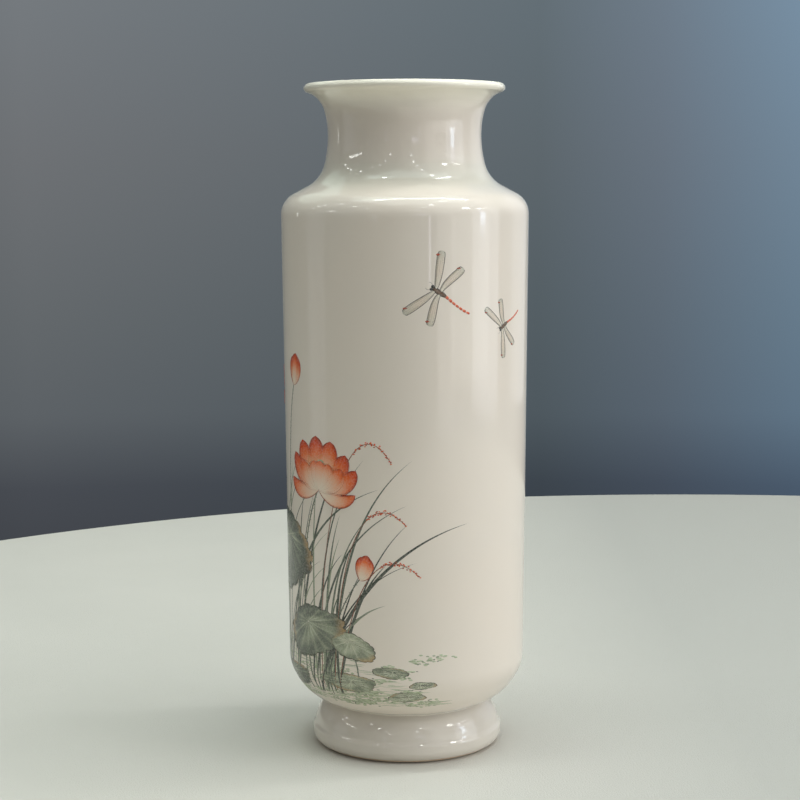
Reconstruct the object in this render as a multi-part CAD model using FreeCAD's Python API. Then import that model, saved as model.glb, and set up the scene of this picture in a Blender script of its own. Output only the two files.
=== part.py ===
import FreeCAD
import Part
import math
import os

# A rouleau vase of glazed porcelain, in millimetres, standing on Z = 0 with its axis on Z.
# It is made as a potter makes it: six thrown sections with bevelled rims, the slip that lutes
# them together, and three coats of glaze. Every piece is a face turned about the axis.

# Heights between the corners of the outer surface, from the table to the crest of the lip
foot_belly_height = 13.6
foot_shoulder_height = 6.4
heel_turn_height = 2.85
heel_height = 13.4
wall_height = 203.95
shoulder_height = 9.25
neck_root_height = 12.4
neck_waist_height = 11.75
neck_flare_height = 11.15
lip_rise = 2.9
lip_edge_height = 2.35

# Radii of foot, body and neck, and how far the corners beside them lie further out or in
foot_radius = 41.7
groove_depth = 6.5
body_radius = 52.0
heel_turn_inset = 7.25
wall_spread = 1.95
neck_radius = 33.3
neck_root_spread = 3.2
neck_flare_spread = 3.15
lip_spread = 10.3

# Roundings of the outer surface at those corners
foot_edge_rounding = 4.6
foot_belly_rounding = 19.2
groove_rounding = 0.4
heel_turn_rounding = 21.5
heel_rounding = 15.8
shoulder_rounding = 10.3
neck_root_rounding = 14.7
neck_waist_lower_rounding = 49.0
neck_waist_upper_rounding = 40.0
neck_flare_rounding = 12.2
lip_underside_rounding = 1.2
lip_crest_rounding = 1.4
lip_inner_rounding = 3.0

# Walls with their glaze, each from one corner of the outer surface to the next, and the floor
heel_turn_thickness = 5.0
heel_thickness = 4.8
wall_thickness = 4.2
shoulder_thickness = 4.4
neck_root_thickness = 4.0
neck_thickness = 3.6
neck_flare_thickness = 3.3
lip_thickness = 2.9
floor_thickness = 5.8
floor_rounding = 20.0

# The recess turned out of the foot: its corner lies in from the groove and below it
recess_inset = 5.7
recess_drop = 3.7
recess_corner_rounding = 2.5
foot_rim_width = 7.5
foot_bore_rounding = 1.2

# Glaze, and how high above the table it is wiped off the foot
glaze_thickness = 0.35
outer_glaze_line = 1.3
base_glaze_line = 1.7

# Luting: where the sections part, the bevel of their rims, the slip between and the bead it makes
heel_joint_rise = 9.75
shoulder_joint_drop = 14.0
neck_joint_rise = 3.0
rim_bevel_rise = 1.6
slip_thickness = 0.4
bead_height = 5.0
bead_rise = 0.6

overrun = 3.0

# A rounding that a wall is taken off keeps at least this radius
least_rounding = 0.2
# A side or a rounding shorter than this is left out of an outline
least_length = 0.01

# Heights of the corners above the table
groove_z = foot_belly_height + foot_shoulder_height
heel_turn_z = groove_z + heel_turn_height
heel_z = heel_turn_z + heel_height
shoulder_z = heel_z + wall_height
neck_root_z = shoulder_z + shoulder_height
neck_lower_z = neck_root_z + neck_root_height
neck_upper_z = neck_lower_z + neck_waist_height
neck_flare_z = neck_upper_z + neck_flare_height
lip_z = neck_flare_z + lip_rise
vase_height = lip_z + lip_edge_height
recess_depth = groove_z - recess_drop
floor_z = recess_depth + floor_thickness

# Their radii
groove_radius = foot_radius - groove_depth
recess_radius = groove_radius - recess_inset
foot_bore_radius = foot_radius - foot_rim_width
foot_rim_radius = foot_radius - foot_rim_width / 2
heel_turn_radius = body_radius - heel_turn_inset
shoulder_radius = body_radius + wall_spread
neck_root_radius = neck_radius + neck_root_spread
neck_flare_radius = neck_radius + neck_flare_spread
lip_radius = neck_radius + lip_spread
widest_radius = max(foot_radius, shoulder_radius, lip_radius)

# Heights of the luting joints where they show outside
heel_joint_z = heel_z + heel_joint_rise
shoulder_joint_z = shoulder_z - shoulder_joint_drop
waist_joint_z = (heel_joint_z + shoulder_joint_z) / 2
neck_joint_z = neck_root_z + neck_joint_rise

# Corners of the outer surface as (radius, height, rounding), from the groove over the foot to
# the lip, and the thickness of the wall between each corner and the next
groove = (groove_radius, groove_z, groove_rounding)
heel_turn = (heel_turn_radius, heel_turn_z, heel_turn_rounding)
heel = (body_radius, heel_z, heel_rounding)
shoulder = (shoulder_radius, shoulder_z, shoulder_rounding)
neck_root = (neck_root_radius, neck_root_z, neck_root_rounding)
neck_lower = (neck_radius, neck_lower_z, neck_waist_lower_rounding)
neck_upper = (neck_radius, neck_upper_z, neck_waist_upper_rounding)
neck_flare = (neck_flare_radius, neck_flare_z, neck_flare_rounding)
lip = (lip_radius, lip_z, lip_underside_rounding)
bends = [heel_turn, heel, shoulder, neck_root, neck_lower, neck_upper, neck_flare]
wall_corners = [groove, *bends, lip]
wall_thicknesses = [
    heel_turn_thickness,
    heel_thickness,
    wall_thickness,
    shoulder_thickness,
    neck_root_thickness,
    neck_thickness,
    neck_flare_thickness,
    lip_thickness,
]


def crossing(first, second):
    """The point where the lines through two pairs of points meet."""
    (ax, az), (bx, bz) = first[0][:2], first[1][:2]
    (cx, cz), (dx, dz) = second[0][:2], second[1][:2]
    across = (bx - ax) * (dz - cz) - (bz - az) * (dx - cx)
    along = ((cx - ax) * (dz - cz) - (cz - az) * (dx - cx)) / across
    return ax + (bx - ax) * along, az + (bz - az) * along


def point_at_height(line, height):
    """The point of a line at a height."""
    return crossing(line, ((0, height), (widest_radius, height)))


def moved_left(start, end, distance):
    """The line from start to end, moved to its left."""
    length = math.dist(start[:2], end[:2])
    across = -(end[1] - start[1]) / length * distance
    up = (end[0] - start[0]) / length * distance
    return (start[0] + across, start[1] + up), (end[0] + across, end[1] + up)


def turn_at(before, corner, after):
    """The angle that an outline turns through at a corner, positive to the left."""
    arriving = math.atan2(corner[1] - before[1], corner[0] - before[0])
    leaving = math.atan2(after[1] - corner[1], after[0] - corner[0])
    return (leaving - arriving + math.pi) % (2 * math.pi) - math.pi


def moved_corners(corners, distances):
    """The corners between an outline's ends after each side has moved left by its own distance.

    A rounding stays concentric with the one that it came from."""
    lines = [
        moved_left(start, end, distance)
        for start, end, distance in zip(corners, corners[1:], distances)
    ]
    moved = []
    for i in range(1, len(corners) - 1):
        radius, height = crossing(lines[i - 1], lines[i])
        mean_distance = (distances[i - 1] + distances[i]) / 2
        turn = turn_at(corners[i - 1], corners[i], corners[i + 1])
        rounding = corners[i][2] - math.copysign(mean_distance, turn)
        moved.append((radius, height, max(rounding, least_rounding)))
    return moved, lines[0], lines[-1]


def rounded_face(corners):
    """A face of the turning plane inside (radius, height, rounding) corners.

    Where two roundings want more of a side than it has, both shrink alike until they meet."""
    count = len(corners)
    points = [FreeCAD.Vector(radius, 0, height) for radius, height, _ in corners]
    sides = [after - point for point, after in zip(points, points[1:] + points[:1])]
    half_turns = [sides[i - 1].getAngle(sides[i]) / 2 for i in range(count)]
    wanted = [corners[i][2] * math.tan(half_turns[i]) for i in range(count)]
    fits = [
        min(1, sides[i].Length / max(wanted[i] + wanted[(i + 1) % count], least_length))
        for i in range(count)
    ]
    cuts = [wanted[i] * min(fits[i - 1], fits[i]) for i in range(count)]
    directions = [side / side.Length for side in sides]
    starts = [points[i] - directions[i - 1] * cuts[i] for i in range(count)]
    ends = [points[i] + directions[i] * cuts[i] for i in range(count)]
    edges = []
    for i in range(count):
        start = edges[-1].lastVertex().Point if edges else starts[i]
        if cuts[i] > least_length:
            arc_radius = cuts[i] / math.tan(half_turns[i])
            arc_gap = arc_radius / math.cos(half_turns[i]) - arc_radius
            inward = (directions[i] - directions[i - 1]).normalize()
            arc = Part.Arc(start, points[i] + inward * arc_gap, ends[i])
            edges.append(arc.toShape())
            start = ends[i]
        after = starts[(i + 1) % count]
        if after.distanceToPoint(start) > least_length:
            edges.append(Part.LineSegment(start, after).toShape())
    return Part.Face(Part.Wire(edges))


def plain_face(points):
    """A face of the turning plane inside (radius, height) points."""
    return rounded_face([(radius, height, 0) for radius, height in points])


def bead_corners(height):
    """The rounded bead that a joint's slip makes on the hollow's wall, from its top down.

    The arc starts and ends on the wall and rises half as far as the corner that it rounds."""
    top = point_at_height(hollow_wall, height + bead_height / 2)
    middle = point_at_height(hollow_wall, height)
    bottom = point_at_height(hollow_wall, height - bead_height / 2)
    crest_rounding = bead_height**2 / (8 * bead_rise)
    return [(*top, 0), (middle[0] - 2 * bead_rise, middle[1], crest_rounding), (*bottom, 0)]


def band(outer, inner, outer_overrun):
    """The gap between two rims, from a point of the outer surface to one of the inner surface."""
    length = math.dist(outer[:2], inner[:2])
    step = ((inner[0] - outer[0]) / length, (inner[1] - outer[1]) / length)
    start = (outer[0] - step[0] * outer_overrun, outer[1] - step[1] * outer_overrun)
    end = (inner[0] + step[0] * overrun, inner[1] + step[1] * overrun)
    lower_rim = moved_left(end, start, -slip_thickness / 2)
    upper_rim = moved_left(start, end, -slip_thickness / 2)
    return plain_face([*lower_rim, *upper_rim])


def bevelled_band(outer_wall, inner_wall, height):
    """The gap of a luting joint that shows outside at a height and rises towards the hollow."""
    outer = point_at_height(outer_wall, height)
    inner = point_at_height(inner_wall, height + rim_bevel_rise)
    return band(outer, inner, overrun)


def glazed_outline(hollow_corners):
    """The glazed cross-section, from the middle of the base round to the middle of the floor."""
    return [
        (0, recess_depth, 0),
        (recess_radius, recess_depth, recess_corner_rounding),
        (foot_bore_radius, 0, foot_bore_rounding),
        (foot_radius, 0, foot_edge_rounding),
        (foot_radius, foot_belly_height, foot_belly_rounding),
        *wall_corners,
        (lip_radius, vase_height, lip_crest_rounding),
        *hollow_corners,
        (0, floor_z, 0),
    ]


def clay_outline(glazed_corners):
    """The clay under the glaze: one coat deeper on every side but the bare rim of the foot."""
    coats = [glaze_thickness] * (len(glazed_corners) - 1)
    coats[bare_rim_side] = 0
    clay_bends, base_side, floor_side = moved_corners(glazed_corners, coats)
    return [(0, base_side[0][1], 0), *clay_bends, (0, floor_side[0][1], 0)]


def export(name, section):
    """One piece of the vase: its cross-section turned about the axis, as a STEP file."""
    foot_centre = FreeCAD.Vector(0, 0, 0)
    axis = FreeCAD.Vector(0, 0, vase_height)
    piece = section.Faces[0].revolve(foot_centre, axis, 360)
    piece.exportStep(os.path.join("parts", name + ".step"))
    print(name, len(piece.Faces), piece.ShapeType, piece.isValid(), round(piece.Volume), "mm3")


# The hollow: the outer surface moved in by the walls, with a flat floor. A finger wipes the neck
# joint smooth, but the joints of the wall are out of reach and keep their beads
hollow_bends, floor_side, lip_side = moved_corners(wall_corners, wall_thicknesses)
hollow_heel_turn, hollow_heel, hollow_shoulder, *hollow_neck = hollow_bends
hollow_wall = (hollow_shoulder, hollow_heel)
hollow_crest = (*point_at_height(lip_side, vase_height), lip_inner_rounding)
hollow_top = [hollow_crest, *reversed(hollow_neck), hollow_shoulder]
floor_edge = (*point_at_height(floor_side, floor_z), floor_rounding)
hollow_foot = [hollow_heel, hollow_heel_turn, floor_edge]
wall_joints_z = [shoulder_joint_z, waist_joint_z, heel_joint_z]
beads = [corner for z in wall_joints_z for corner in bead_corners(z + rim_bevel_rise)]

bare_rim_side = 2
smooth_corners = glazed_outline([*hollow_top, *hollow_foot])
glazed_corners = glazed_outline([*hollow_top, *beads, *hollow_foot])
thrown_face = rounded_face(clay_outline(smooth_corners))
luted_face = rounded_face(clay_outline(glazed_corners))
glazed_face = rounded_face(glazed_corners)

# The gaps between the rims. The foot ring is luted on from the groove to the recess's corner
gaps = [bevelled_band((heel, shoulder), hollow_wall, z) for z in wall_joints_z]
gaps.append(bevelled_band((neck_root, neck_lower), hollow_neck[:2], neck_joint_z))
gaps.append(band(groove, (recess_radius, recess_depth), groove_rounding))

section_names = [
    "foot_ring",
    "base_bowl",
    "lower_wall",
    "upper_wall",
    "shoulder_section",
    "neck_and_lip",
]
slip_names = [
    "foot_luting_slip",
    "heel_luting_slip",
    "waist_luting_slip",
    "shoulder_luting_slip",
    "neck_luting_slip",
]
os.makedirs("parts", exist_ok=True)
sections = thrown_face.cut(gaps)
slips = luted_face.cut(sections)
for names, faces in ((section_names, sections.Faces), (slip_names, slips.Faces)):
    rising_faces = sorted(faces, key=lambda face: face.CenterOfMass.z)
    for name, face in zip(names, rising_faces, strict=True):
        export(name, face)

# Glaze: one coat in the recess, one in the hollow, and one outside that ends at the lip's crest
middle_bends = [
    tuple((outside + inside) / 2 for outside, inside in zip(bend, hollow_bend))
    for bend, hollow_bend in zip(bends, hollow_bends)
]
middle_floor_z = recess_depth + floor_thickness / 2
crest_radius = (lip_radius + hollow_crest[0]) / 2
middle_lip_z = (lip_z + vase_height) / 2
above_vase_z = vase_height + overrun
hollow_zone = rounded_face(
    [
        (0, middle_floor_z, 0),
        (recess_radius, middle_floor_z, 0),
        *middle_bends,
        (crest_radius, middle_lip_z, 0),
        (crest_radius, above_vase_z, 0),
        (0, above_vase_z, 0),
    ]
)
recess_zone = plain_face(
    [
        (0, base_glaze_line),
        (foot_rim_radius, base_glaze_line),
        (recess_radius, middle_floor_z),
        (0, middle_floor_z),
    ]
)
outside_zone = plain_face(
    [
        (foot_rim_radius, outer_glaze_line),
        (widest_radius + overrun, outer_glaze_line),
        (widest_radius + overrun, above_vase_z),
        (0, above_vase_z),
        (0, middle_floor_z),
        (recess_radius, middle_floor_z),
    ]
)
coat = glazed_face.cut(luted_face)
export("inner_glaze", coat.common(hollow_zone))
export("base_glaze", coat.common(recess_zone))
export("outer_glaze", coat.common(outside_zone).cut(hollow_zone))
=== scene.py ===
import bpy
import bmesh
import math
import numpy as np
from mathutils import Euler, Matrix, Vector


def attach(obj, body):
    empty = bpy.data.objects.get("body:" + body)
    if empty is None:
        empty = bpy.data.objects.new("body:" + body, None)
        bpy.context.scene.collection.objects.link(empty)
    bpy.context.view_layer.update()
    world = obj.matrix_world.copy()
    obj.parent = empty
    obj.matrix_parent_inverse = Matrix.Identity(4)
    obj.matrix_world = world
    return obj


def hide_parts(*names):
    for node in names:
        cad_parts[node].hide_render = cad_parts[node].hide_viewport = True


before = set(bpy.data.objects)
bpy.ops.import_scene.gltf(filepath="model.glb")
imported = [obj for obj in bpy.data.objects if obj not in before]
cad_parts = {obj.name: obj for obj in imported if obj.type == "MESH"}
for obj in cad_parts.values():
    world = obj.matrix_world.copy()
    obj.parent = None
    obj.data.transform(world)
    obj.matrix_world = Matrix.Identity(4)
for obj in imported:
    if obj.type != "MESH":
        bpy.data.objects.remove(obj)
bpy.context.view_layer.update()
scene = bpy.context.scene
scene.view_settings.view_transform = "Standard"
millimetre = 0.001
print("frame:", len(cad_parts), "nodes")


def linearColour(hexText):
    # sRGB hex to linear: c / 12.92 up to 0.04045, and ((c + 0.055) / 1.055) ** 2.4 above
    parts = [int(hexText[i:i + 2], 16) / 255 for i in (1, 3, 5)]
    return [c / 12.92 if c <= 0.04045 else ((c + 0.055) / 1.055) ** 2.4 for c in parts] + [1.0]


def addNode(tree, kind, settings=None, links=None):
    # one node: settings are its own options or values of its sockets, links feed its sockets
    node = tree.nodes.new(kind)
    for key, value in (settings or {}).items():
        if isinstance(key, str) and key in node.bl_rna.properties:
            setattr(node, key, value)
        else:
            node.inputs[key].default_value = value
    for key, socket in (links or {}).items():
        tree.links.new(socket, node.inputs[key])
    return node


def newMaterial(name):
    # a material whose node tree is empty
    material = bpy.data.materials.new(name)
    material.use_nodes = True
    material.node_tree.nodes.clear()
    return material, material.node_tree


def smoothStep(low, high, value):
    # 3t² - 2t³, where t runs from 0 at low to 1 at high
    t = np.clip((value - low) / (high - low), 0, 1)
    return t * t * (3 - 2 * t)


# The glazed section in millimetres as corners (radius, height, rounding), from the middle of the
# recess under the foot, round the foot, up the wall, over the lip and down the hollow to the floor.
# The foot swells low down and draws in above, and the lip's edge is a soft roll
vase = {
    "recess": [(0, 16.3, 0), (29.5, 16.3, 2.5), (34.2, 0, 1.2)],
    "foot": [(42.0, 0, 5.0), (42.0, 7.7, 2.4), (41.0, 9.4, 6.0), (39.91, 15.37, 19.2), (35.2, 20.0, 0.4)],
    "body": [(44.75, 22.85, 21.5), (52.0, 36.25, 15.8), (53.95, 240.2, 10.3)],
    "neck": [(36.5, 249.45, 14.7), (33.3, 261.85, 49.0), (33.3, 273.6, 40.0), (36.45, 284.75, 12.2)],
    "lip": [
        (42.7, 286.6, 1.5), (43.5, 287.5, 1.0), (43.6, 288.5, 1.5), (42.6, 290.0, 2.6), (41.68, 290.0, 3.0)
    ],
    "hollowNeck": [(33.58, 286.71, 15.3), (29.7, 273.0, 43.45), (29.7, 259.79, 52.8), (33.2, 246.22, 18.9)],
    "hollowWall": [(49.72, 237.46, 6.0), (47.82, 38.62, 11.3)],
    "hollowFloor": [(41.61, 27.13, 16.6), (24.75, 22.1, 20.0), (0, 22.1, 0)],
    "beadHeights": [227.8, 137.7, 47.6],  # the slip's beads on the hollow's wall
    "beadWidth": 5.0,
    "beadRise": 0.6,
    "straightWall": (42, 232),  # heights between which the hollow's wall is straight
    "straightRadius": 45,  # the straight wall lies outside this radius
    "outerGlazeLine": 1.3,
    "baseGlazeLine": 1.7,
    "rimRadius": 36,  # the bare rim lies on both sides of this radius
    "coat": 0.3,  # thickness of the glaze, just short of the clay
    "paintedWall": (22.9, 243),  # heights between which paint may lie
    "paintRadius": 53.0,  # lengths round the wall are measured at this radius
}


def roundedLine(corners, spacing):
    # Straight sides with a tangent arc at each corner. An arc of radius R takes R * tan(turn / 2)
    # off both sides. Where two arcs want more of a side than it has, both shrink alike
    corners = np.array(corners, float)
    places, roundings = corners[:, :2], corners[:, 2]
    sides = np.diff(places, axis=0)
    lengths = np.linalg.norm(sides, axis=1)
    ways = sides / lengths[:, None]
    turns = np.zeros(len(corners))
    turns[1:-1] = np.arctan2(
        ways[:-1, 0] * ways[1:, 1] - ways[:-1, 1] * ways[1:, 0], (ways[:-1] * ways[1:]).sum(1)
    )
    cuts = roundings * np.tan(np.abs(turns) / 2)
    fits = np.minimum(1, lengths / np.maximum(cuts[:-1] + cuts[1:], 1e-9))
    cuts[1:-1] *= np.minimum(fits[:-1], fits[1:])
    line = [places[:1]]
    for i in range(1, len(corners)):
        start = line[-1][-1]
        end = places[i] - ways[i - 1] * cuts[i]
        if np.linalg.norm(end - start) > 1e-6:
            steps = max(1, int(np.linalg.norm(end - start) / spacing))
            line.append(start + (end - start) * np.linspace(0, 1, steps + 1)[1:, None])
        if cuts[i] > 0:
            radius = cuts[i] / math.tan(abs(turns[i]) / 2)
            side = np.array([-ways[i - 1][1], ways[i - 1][0]]) * np.sign(turns[i])
            centre = end + side * radius
            steps = max(4, int(abs(turns[i]) * radius / spacing), int(abs(turns[i]) / 0.12))
            angle = turns[i] * np.linspace(0, 1, steps + 1)[1:]
            arm = end - centre
            line.append(
                centre
                + np.cos(angle)[:, None] * arm
                + np.sin(angle)[:, None] * np.array([-arm[1], arm[0]])
            )
    return np.concatenate(line)


def sideways(line):
    # the unit normal to the right of a line, by central differences
    along = np.gradient(line, axis=0)
    along /= np.linalg.norm(along, axis=1)[:, None]
    return np.stack([along[:, 1], -along[:, 0]], 1)


def gridMesh(name, batches, key, wrapRows=False):
    # Batches of (points, values): grids of points in metres, shape (grids, rows, columns, 3), whose
    # columns close into rings, as quads that face columns cross rows. The values, numbers or
    # colours, go into the attribute key. Points in one place, at poles and tips, are merged
    quads, first = [], 0
    for points, values in batches:
        count = points.shape[:3]
        index = first + np.arange(math.prod(count)).reshape(count)
        below = np.roll(index, -1, 1) if wrapRows else index[:, 1:]
        above = index if wrapRows else index[:, :-1]
        corners = [above, np.roll(above, -1, 2), np.roll(below, -1, 2), below]
        quads.append(np.stack(corners, -1).reshape(-1, 4))
        first += index.size
    quads = np.concatenate(quads)
    places = np.concatenate([points.reshape(-1) for points, values in batches])
    values = np.concatenate([values.reshape(-1) for points, values in batches])
    mesh = bpy.data.meshes.new(name)
    mesh.vertices.add(first)
    mesh.vertices.foreach_set("co", places.astype(np.float32))
    mesh.loops.add(quads.size)
    mesh.loops.foreach_set("vertex_index", quads.astype(np.int32).ravel())
    mesh.polygons.add(len(quads))
    mesh.polygons.foreach_set("loop_start", np.arange(0, quads.size, 4, dtype=np.int32))
    isColour = len(values) == 4 * first
    layer = mesh.attributes.new(key, "FLOAT_COLOR" if isColour else "FLOAT", "POINT")
    layer.data.foreach_set("color" if isColour else "value", values.astype(np.float32))
    mesh.update(calc_edges=True)
    shape = bmesh.new()
    shape.from_mesh(mesh)
    bmesh.ops.remove_doubles(shape, verts=shape.verts, dist=1e-7)
    shape.to_mesh(mesh)
    shape.free()
    mesh.shade_smooth()
    piece = bpy.data.objects.new(name, mesh)
    scene.collection.objects.link(piece)
    return piece


def finishPiece(piece, material, slot, *nodes):
    # every piece rides on the one body, and a coat takes the place of the CAD's
    piece.data.materials.append(material)
    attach(piece, "root")
    if nodes:
        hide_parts(*nodes)
    print(piece.name, len(piece.data.polygons), "faces")


# Light, floor and camera, in metres and degrees. A light's place is its azimuth from the camera's
# side, positive to the right, its elevation and its distance from the middle of the vase, and a
# shift to the right
studio = {
    "middle": (0, 0, 0.145),
    "cameraPlace": (0, -0.8095, 0.2492),
    "cameraPitch": -6.81,
    "cameraYaw": 0.175,
    "cameraRoll": -0.236,
    "focalPixels": 1850,
    "framePixels": 800,
    "sensor": 36.0,
    "tableRadius": 0.75,
    "tableCentre": (0.2, -0.1),
    "tableEdge": 0.012,
    "tableDrop": 0.00002,  # how far the table lies under the foot's rim
    "cloth": ["#c9c7be", "#d3d0c7"],
    # painted shade: the cloth's darker tone to the right of the vase
    "clothShadeRight": "#b8b7b0",  # the cloth's tone to the right of the vase
    "wallHeights": [
        (0.0, "#33383c"), (0.07, "#41484e"), (0.1, "#545d61"), (0.14, "#5a6366"),
        (0.21, "#646c6f"), (0.27, "#6a7478"), (1.0, "#a5a49f"),
    ],
    "wallSides": [  # tints of the walls from left to right, in linear light
        (0.1, (0.85, 0.8, 0.8, 1)), (0.25, (1.22, 1.1, 1.1, 1)), (0.59, (0.87, 0.9, 0.95, 1)),
        (0.67, (1.08, 1.14, 1.32, 1)), (0.76, (1.29, 1.56, 1.93, 1)), (0.95, (0.95, 1.0, 1.1, 1)),
    ],
    "cameraSide": 0.33,  # strength of the walls on the camera's side
    "lights": [
        # name, azimuth, elevation, distance, shift, width, height, radiance, colour
        ("firstPane", 38, 4, 3.2, 0, 1.0, 1.7, 0.95, "#fffaf6"),
        ("secondPane", 57, 4, 3.2, 0, 1.12, 1.7, 0.4, "#fffdfa"),
        ("thirdPane", 80, 7, 3.2, 0, 1.8, 1.7, 1.6, "#f4f7ff"),
        ("upperPanes", 66, 44, 3.2, 0, 4.0, 3.0, 0.85, "#fefbf8"),
        ("lowerPanes", 62, 0, 1.25, 0, 0.9, 0.26, 1.05, "#fefcf6"),
        ("windowEdge", 77, -4, 1.5, 0, 0.42, 0.4, 0.28, "#e4ecff"),
        ("highWindow", 74.5, 8.3, 1.5, 0, 0.17, 0.38, 6.0, "#d6e8ff"),
        ("skyWindow", 74.5, 22, 1.6, 0, 0.17, 0.4, 2.0, "#e6e4f6"),
        ("windowFrame", 22, 4.5, 1.6, 0, 0.03, 0.36, 4.5, "#f6f2ff"),
        ("backWindow", 132, 14, 1.7, 0, 1.1, 1.3, 0.55, "#f6faff"),
        ("leftGap", -90, 2, 1.8, 0, 0.7, 0.9, 0.42, "#fbfaff"),
        ("leftFill", -100, 35, 2.6, 0, 1.2, 1.6, 0.12, "#fff4dc"),
        ("backCeiling", -115, 76, 2.0, 0, 1.2, 0.8, 1.25, "#e8fff4"),
        ("backGlow", -140, 39, 2.4, 0, 1.5, 0.9, 0.8, "#e9fff0"),
        ("ceiling", 32, 82, 1.55, 0, 1.7, 1.2, 1.56, "#ebfcf8"),
        ("ceilingTube", 15, 87, 1.4, 0.22, 1.35, 0.075, 20.0, "#fbfeff"),
        ("smallPane", 15, 11.4, 1.6, 0, 0.26, 0.14, 2.2, "#efeaff"),
        ("farPane", -27, 6.6, 1.6, 0, 0.06, 0.32, 1.6, "#ece8ff"),
        ("leftTube", -77.5, 19.8, 2.2, 0, 0.8, 0.04, 14.0, "#fffef8"),
        ("doorTube", -116, 5.6, 2.0, 0, 0.03, 0.24, 10.0, "#fffef8"),
        ("nearSpot", 62, 31.5, 2.0, 0, 0.22, 0.2, 12.0, "#fffdf8"),
        ("rightTube", 82, 27.4, 2.2, 0, 0.67, 0.04, 14.0, "#fffdf8"),
    ],
    "lampRows": [-2.0, 0.9],
    "lampPlaces": [-0.42, -1.42, -2.5, -3.7, -5.1],
    "sideLamps": [(-2.8, 0.1), (-3.5, 0.44), (-4.7, 0.7), (3.2, -1.55), (3.45, -1.5), (4.5, -1.15)],
    "lampHeight": 2.3,
    "lampRadius": 0.085,
    "lampPower": 4.6,
}


def placeCamera():
    # the lens in millimetres is its focal length in pixels times the sensor's width over the frame's
    camera = bpy.data.cameras.new("camera")
    camera.sensor_width = studio["sensor"]
    camera.lens = studio["focalPixels"] / studio["framePixels"] * studio["sensor"]
    camera.clip_start = 0.01
    viewer = bpy.data.objects.new("camera", camera)
    scene.collection.objects.link(viewer)
    level = Euler((math.radians(90 + studio["cameraPitch"]), 0, math.radians(studio["cameraYaw"])))
    roll = Matrix.Rotation(math.radians(studio["cameraRoll"]), 3, "Z")
    viewer.rotation_euler = (level.to_matrix() @ roll).to_euler()
    viewer.location = studio["cameraPlace"]
    scene.camera = viewer


def placeLights():
    # flat panels that face the vase, each with a power of radiance * pi * width * height, and the
    # small round downlights of the ceiling
    middle = Vector(studio["middle"])
    for name, azimuth, elevation, distance, shift, width, height, radiance, colour in studio["lights"]:
        a, e = math.radians(azimuth), math.radians(elevation)
        way = Vector((math.cos(e) * math.sin(a), -math.cos(e) * math.cos(a), math.sin(e)))
        light = bpy.data.lights.new(name, "AREA")
        light.shape = "RECTANGLE"
        light.size, light.size_y = width, height
        light.color = linearColour(colour)[:3]
        light.energy = radiance * math.pi * width * height
        holder = bpy.data.objects.new(name, light)
        holder.location = middle + way * distance + Vector((math.cos(a), math.sin(a), 0)) * shift
        holder.rotation_euler = way.to_track_quat("Z", "Y").to_euler()
        holder.visible_camera = False
        scene.collection.objects.link(holder)
    rows = [(x, y) for x in studio["lampRows"] for y in studio["lampPlaces"]]
    for x, y in rows + studio["sideLamps"]:
        light = bpy.data.lights.new("downlight", "POINT")
        light.energy = studio["lampPower"]
        light.shadow_soft_size = studio["lampRadius"]
        holder = bpy.data.objects.new("downlight", light)
        holder.location = (x, y, studio["lampHeight"])
        holder.visible_camera = False
        scene.collection.objects.link(holder)


def paintRoom():
    # the room's far walls: plain blue-grey, darker low down and on the camera's side, and lighter
    # towards the ceiling
    world = bpy.data.worlds.new("room")
    scene.world = world
    world.use_nodes = True
    tree = world.node_tree
    tree.nodes.clear()
    where = addNode(tree, "ShaderNodeTexCoord")
    parts = addNode(tree, "ShaderNodeSeparateXYZ", links={0: where.outputs["Generated"]})
    heights = [(place, linearColour(colour)) for place, colour in studio["wallHeights"]]
    ramps = []  # colours in linear light, blended straight from stop to stop, up the walls and across
    for way, low, high, stops in (("Z", -0.25, 1.0, heights), ("X", -0.4, 0.4, studio["wallSides"])):
        share = addNode(
            tree, "ShaderNodeMapRange", {"From Min": low, "From Max": high}, {0: parts.outputs[way]}
        )
        ramp = addNode(tree, "ShaderNodeValToRGB", links={0: share.outputs[0]})
        for place, colour in stops[1:-1]:
            ramp.color_ramp.elements.new(place)
        for element, (place, colour) in zip(ramp.color_ramp.elements, stops):
            element.position, element.color = place, colour
        ramps.append(ramp.outputs[0])
    wall = addNode(
        tree, "ShaderNodeMix", {"data_type": "RGBA", "blend_type": "MULTIPLY", 0: 1.0},
        {6: ramps[0], 7: ramps[1]},
    )
    ahead = addNode(
        tree, "ShaderNodeMapRange",
        {"From Min": -0.3, "From Max": 0.5, "To Min": studio["cameraSide"], "To Max": 1.0},
        {"Value": parts.outputs["Y"]},
    )
    glow = addNode(
        tree, "ShaderNodeBackground", links={"Color": wall.outputs[2], "Strength": ahead.outputs[0]}
    )
    addNode(tree, "ShaderNodeOutputWorld", links={0: glow.outputs[0]})


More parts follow.
